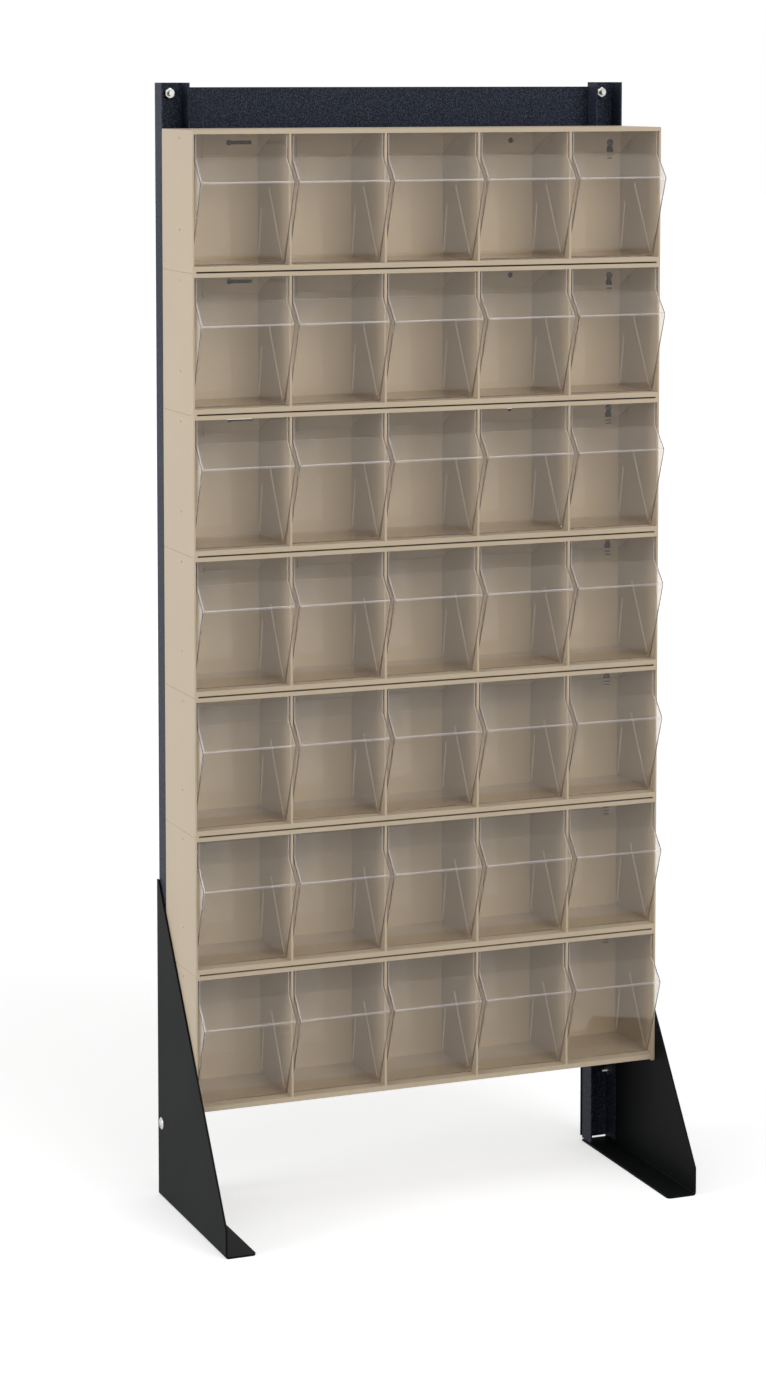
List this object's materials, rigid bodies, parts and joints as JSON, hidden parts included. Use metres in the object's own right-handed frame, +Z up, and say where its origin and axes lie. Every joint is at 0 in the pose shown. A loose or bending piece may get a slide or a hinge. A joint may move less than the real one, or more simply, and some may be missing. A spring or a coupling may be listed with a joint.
{
  "type": "tip out bin stand",
  "caption": "Floor stand of channel posts, cross rails and bent feet that carries stacked bin cabinets, whose clear cups tip out forwards on moulded pins.",
  "frame": {"origin": "on the floor, under the middle of the box that holds the whole stand", "axes": "+X to the right as the cups are faced, +Y to the back, +Z up"},
  "size_m": [0.6118, 0.2564, 1.348],
  "materials": {
    "cabinet_plastic": "fine moulded satin, ivory beige",
    "clear_plastic": "clear polished, faintly smoky",
    "frame_paint": "blue black fine speckled powder coat",
    "foot_paint": "satin black powder coat",
    "zinc_steel": "bright zinc plate"
  },
  "bodies": {
    "stand": {"cabinet_1": "cabinet_plastic", "cabinet_2": "cabinet_plastic", "cabinet_3": "cabinet_plastic", "cabinet_4": "cabinet_plastic", "cabinet_5": "cabinet_plastic", "cabinet_6": "cabinet_plastic", "cabinet_7": "cabinet_plastic", "post_left": "frame_paint", "post_right": "frame_paint", "top_rail": "frame_paint", "bottom_rail": "frame_paint", "leg_left": "foot_paint", "leg_right": "foot_paint", "rail_screws": "zinc_steel", "rail_nuts": "zinc_steel", "leg_screws": "zinc_steel", "leg_nuts": "zinc_steel", "hanger_screws": "zinc_steel", "hanger_nuts": "zinc_steel"},
    "cup_1_1": {"cup_1_1": "clear_plastic"},
    "cup_1_2": {"cup_1_2": "clear_plastic"},
    "cup_1_3": {"cup_1_3": "clear_plastic"},
    "cup_1_4": {"cup_1_4": "clear_plastic"},
    "cup_1_5": {"cup_1_5": "clear_plastic"},
    "cup_2_1": {"cup_2_1": "clear_plastic"},
    "cup_2_2": {"cup_2_2": "clear_plastic"},
    "cup_2_3": {"cup_2_3": "clear_plastic"},
    "cup_2_4": {"cup_2_4": "clear_plastic"},
    "cup_2_5": {"cup_2_5": "clear_plastic"},
    "cup_3_1": {"cup_3_1": "clear_plastic"},
    "cup_3_2": {"cup_3_2": "clear_plastic"},
    "cup_3_3": {"cup_3_3": "clear_plastic"},
    "cup_3_4": {"cup_3_4": "clear_plastic"},
    "cup_3_5": {"cup_3_5": "clear_plastic"},
    "cup_4_1": {"cup_4_1": "clear_plastic"},
    "cup_4_2": {"cup_4_2": "clear_plastic"},
    "cup_4_3": {"cup_4_3": "clear_plastic"},
    "cup_4_4": {"cup_4_4": "clear_plastic"},
    "cup_4_5": {"cup_4_5": "clear_plastic"},
    "cup_5_1": {"cup_5_1": "clear_plastic"},
    "cup_5_2": {"cup_5_2": "clear_plastic"},
    "cup_5_3": {"cup_5_3": "clear_plastic"},
    "cup_5_4": {"cup_5_4": "clear_plastic"},
    "cup_5_5": {"cup_5_5": "clear_plastic"},
    "cup_6_1": {"cup_6_1": "clear_plastic"},
    "cup_6_2": {"cup_6_2": "clear_plastic"},
    "cup_6_3": {"cup_6_3": "clear_plastic"},
    "cup_6_4": {"cup_6_4": "clear_plastic"},
    "cup_6_5": {"cup_6_5": "clear_plastic"},
    "cup_7_1": {"cup_7_1": "clear_plastic"},
    "cup_7_2": {"cup_7_2": "clear_plastic"},
    "cup_7_3": {"cup_7_3": "clear_plastic"},
    "cup_7_4": {"cup_7_4": "clear_plastic"},
    "cup_7_5": {"cup_7_5": "clear_plastic"}
  },
  "joints": [
    {"name": "tip_1_1", "type": "hinge", "parent": "stand", "child": "cup_1_1", "pos_m": [-0.239, -0.0027, 0.1492], "axis": [1, 0, 0], "range_deg": [0, 40.4]},
    {"name": "tip_1_2", "type": "hinge", "parent": "stand", "child": "cup_1_2", "pos_m": [-0.1195, -0.0027, 0.1492], "axis": [1, 0, 0], "range_deg": [0, 40.4]},
    {"name": "tip_1_3", "type": "hinge", "parent": "stand", "child": "cup_1_3", "pos_m": [0, -0.0027, 0.1492], "axis": [1, 0, 0], "range_deg": [0, 40.4]},
    {"name": "tip_1_4", "type": "hinge", "parent": "stand", "child": "cup_1_4", "pos_m": [0.1195, -0.0027, 0.1492], "axis": [1, 0, 0], "range_deg": [0, 40.4]},
    {"name": "tip_1_5", "type": "hinge", "parent": "stand", "child": "cup_1_5", "pos_m": [0.239, -0.0027, 0.1492], "axis": [1, 0, 0], "range_deg": [0, 40.4]},
    {"name": "tip_2_1", "type": "hinge", "parent": "stand", "child": "cup_2_1", "pos_m": [-0.239, -0.0027, 0.3143], "axis": [1, 0, 0], "range_deg": [0, 40.4]},
    {"name": "tip_2_2", "type": "hinge", "parent": "stand", "child": "cup_2_2", "pos_m": [-0.1195, -0.0027, 0.3143], "axis": [1, 0, 0], "range_deg": [0, 40.4]},
    {"name": "tip_2_3", "type": "hinge", "parent": "stand", "child": "cup_2_3", "pos_m": [0, -0.0027, 0.3143], "axis": [1, 0, 0], "range_deg": [0, 40.4]},
    {"name": "tip_2_4", "type": "hinge", "parent": "stand", "child": "cup_2_4", "pos_m": [0.1195, -0.0027, 0.3143], "axis": [1, 0, 0], "range_deg": [0, 40.4]},
    {"name": "tip_2_5", "type": "hinge", "parent": "stand", "child": "cup_2_5", "pos_m": [0.239, -0.0027, 0.3143], "axis": [1, 0, 0], "range_deg": [0, 40.4]},
    {"name": "tip_3_1", "type": "hinge", "parent": "stand", "child": "cup_3_1", "pos_m": [-0.239, -0.0027, 0.4794], "axis": [1, 0, 0], "range_deg": [0, 40.4]},
    {"name": "tip_3_2", "type": "hinge", "parent": "stand", "child": "cup_3_2", "pos_m": [-0.1195, -0.0027, 0.4794], "axis": [1, 0, 0], "range_deg": [0, 40.4]},
    {"name": "tip_3_3", "type": "hinge", "parent": "stand", "child": "cup_3_3", "pos_m": [0, -0.0027, 0.4794], "axis": [1, 0, 0], "range_deg": [0, 40.4]},
    {"name": "tip_3_4", "type": "hinge", "parent": "stand", "child": "cup_3_4", "pos_m": [0.1195, -0.0027, 0.4794], "axis": [1, 0, 0], "range_deg": [0, 40.4]},
    {"name": "tip_3_5", "type": "hinge", "parent": "stand", "child": "cup_3_5", "pos_m": [0.239, -0.0027, 0.4794], "axis": [1, 0, 0], "range_deg": [0, 40.4]},
    {"name": "tip_4_1", "type": "hinge", "parent": "stand", "child": "cup_4_1", "pos_m": [-0.239, -0.0027, 0.6445], "axis": [1, 0, 0], "range_deg": [0, 40.4]},
    {"name": "tip_4_2", "type": "hinge", "parent": "stand", "child": "cup_4_2", "pos_m": [-0.1195, -0.0027, 0.6445], "axis": [1, 0, 0], "range_deg": [0, 40.4]},
    {"name": "tip_4_3", "type": "hinge", "parent": "stand", "child": "cup_4_3", "pos_m": [0, -0.0027, 0.6445], "axis": [1, 0, 0], "range_deg": [0, 40.4]},
    {"name": "tip_4_4", "type": "hinge", "parent": "stand", "child": "cup_4_4", "pos_m": [0.1195, -0.0027, 0.6445], "axis": [1, 0, 0], "range_deg": [0, 40.4]},
    {"name": "tip_4_5", "type": "hinge", "parent": "stand", "child": "cup_4_5", "pos_m": [0.239, -0.0027, 0.6445], "axis": [1, 0, 0], "range_deg": [0, 40.4]},
    {"name": "tip_5_1", "type": "hinge", "parent": "stand", "child": "cup_5_1", "pos_m": [-0.239, -0.0027, 0.8096], "axis": [1, 0, 0], "range_deg": [0, 40.4]},
    {"name": "tip_5_2", "type": "hinge", "parent": "stand", "child": "cup_5_2", "pos_m": [-0.1195, -0.0027, 0.8096], "axis": [1, 0, 0], "range_deg": [0, 40.4]},
    {"name": "tip_5_3", "type": "hinge", "parent": "stand", "child": "cup_5_3", "pos_m": [0, -0.0027, 0.8096], "axis": [1, 0, 0], "range_deg": [0, 40.4]},
    {"name": "tip_5_4", "type": "hinge", "parent": "stand", "child": "cup_5_4", "pos_m": [0.1195, -0.0027, 0.8096], "axis": [1, 0, 0], "range_deg": [0, 40.4]},
    {"name": "tip_5_5", "type": "hinge", "parent": "stand", "child": "cup_5_5", "pos_m": [0.239, -0.0027, 0.8096], "axis": [1, 0, 0], "range_deg": [0, 40.4]},
    {"name": "tip_6_1", "type": "hinge", "parent": "stand", "child": "cup_6_1", "pos_m": [-0.239, -0.0027, 0.9747], "axis": [1, 0, 0], "range_deg": [0, 40.4]},
    {"name": "tip_6_2", "type": "hinge", "parent": "stand", "child": "cup_6_2", "pos_m": [-0.1195, -0.0027, 0.9747], "axis": [1, 0, 0], "range_deg": [0, 40.4]},
    {"name": "tip_6_3", "type": "hinge", "parent": "stand", "child": "cup_6_3", "pos_m": [0, -0.0027, 0.9747], "axis": [1, 0, 0], "range_deg": [0, 40.4]},
    {"name": "tip_6_4", "type": "hinge", "parent": "stand", "child": "cup_6_4", "pos_m": [0.1195, -0.0027, 0.9747], "axis": [1, 0, 0], "range_deg": [0, 40.4]},
    {"name": "tip_6_5", "type": "hinge", "parent": "stand", "child": "cup_6_5", "pos_m": [0.239, -0.0027, 0.9747], "axis": [1, 0, 0], "range_deg": [0, 40.4]},
    {"name": "tip_7_1", "type": "hinge", "parent": "stand", "child": "cup_7_1", "pos_m": [-0.239, -0.0027, 1.1398], "axis": [1, 0, 0], "range_deg": [0, 40.4]},
    {"name": "tip_7_2", "type": "hinge", "parent": "stand", "child": "cup_7_2", "pos_m": [-0.1195, -0.0027, 1.1398], "axis": [1, 0, 0], "range_deg": [0, 40.4]},
    {"name": "tip_7_3", "type": "hinge", "parent": "stand", "child": "cup_7_3", "pos_m": [0, -0.0027, 1.1398], "axis": [1, 0, 0], "range_deg": [0, 40.4]},
    {"name": "tip_7_4", "type": "hinge", "parent": "stand", "child": "cup_7_4", "pos_m": [0.1195, -0.0027, 1.1398], "axis": [1, 0, 0], "range_deg": [0, 40.4]},
    {"name": "tip_7_5", "type": "hinge", "parent": "stand", "child": "cup_7_5", "pos_m": [0.239, -0.0027, 1.1398], "axis": [1, 0, 0], "range_deg": [0, 40.4]}
  ]
}
